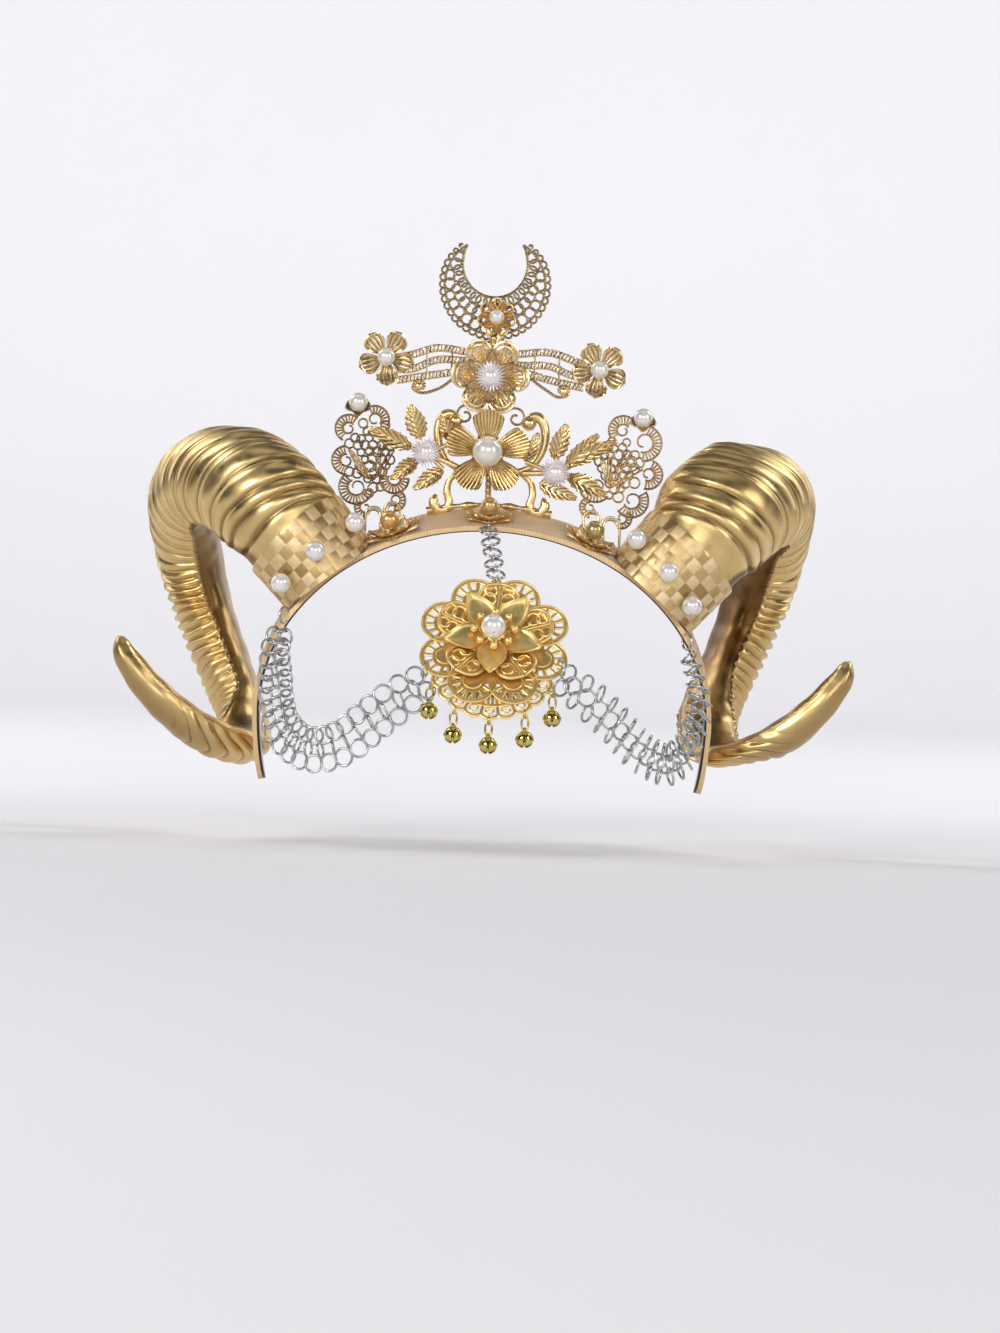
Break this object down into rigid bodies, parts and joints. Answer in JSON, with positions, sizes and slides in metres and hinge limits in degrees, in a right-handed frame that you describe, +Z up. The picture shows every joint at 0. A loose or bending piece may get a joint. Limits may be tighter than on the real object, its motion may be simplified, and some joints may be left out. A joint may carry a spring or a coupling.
{
  "type": "ram horn headdress",
  "caption": "Costume headband with ridged gold ram horns, a filigree tiara of flowers and pearls, and a flower pendant with bells hung on chain-mail drapes over the brow.",
  "frame": {"origin": "underside of the hairband at its top centre, where it sits on the head", "axes": "+X to the viewer's right, across the two horns; -Y the way the wearer faces; +Z up"},
  "size_m": [0.2954, 0.154, 0.2168],
  "materials": {
    "black_plastic": "gloss",
    "gold_cloth": "fine lustrous weave",
    "horn_gold": "satin antique gold paint",
    "cuff_foil": "chequered metallic foil",
    "pearl": "pearl gloss",
    "pale_gold": "antique pale gold",
    "cast_gold": "satin antique gold",
    "bright_gold": "polished gold",
    "bell_brass": "polished brass",
    "gold_bead": "pearl gloss",
    "steel": "bright"
  },
  "bodies": {
    "root": {"headband_core": "black_plastic", "headband_cover": "gold_cloth", "horn_left": "horn_gold", "horn_right": "horn_gold", "cuff_left": "cuff_foil", "cuff_right": "cuff_foil", "cuff_pearl_left_1": "pearl", "cuff_pearl_left_2": "pearl", "cuff_pearl_left_3": "pearl", "cuff_pearl_right_1": "pearl", "cuff_pearl_right_2": "pearl", "cuff_pearl_right_3": "pearl", "scroll_frame": "cast_gold", "crescent": "pale_gold", "wing_bar": "pale_gold", "crescent_flower": "pale_gold", "crescent_pearl": "pearl", "wing_flower_left": "pale_gold", "wing_flower_right": "pale_gold", "wing_pearl_left": "pearl", "wing_pearl_right": "pearl", "rosette": "pale_gold", "rosette_pearl": "pearl", "main_flower": "cast_gold", "main_pearl": "pearl", "leaf_spray_left": "cast_gold", "leaf_spray_right": "cast_gold", "spray_pearl_left": "pearl", "spray_pearl_right": "pearl", "lace_left": "pale_gold", "lace_right": "pale_gold", "lace_pearl_left": "pearl", "lace_pearl_right": "pearl", "base_flower_centre": "pale_gold", "base_flower_left": "pale_gold", "base_flower_right": "pale_gold", "base_bead_centre": "gold_bead", "base_bead_left": "gold_bead", "base_bead_right": "gold_bead", "pendant_backplate": "bright_gold", "pendant_petals": "bright_gold", "pendant_pearl": "pearl", "pendant_skirt": "bright_gold", "bell_1": "bell_brass", "bell_2": "bell_brass", "bell_3": "bell_brass", "bell_4": "bell_brass", "bell_5": "bell_brass", "centre_chain": "steel", "drape_left": "steel", "drape_right": "steel"}
  },
  "joints": []
}
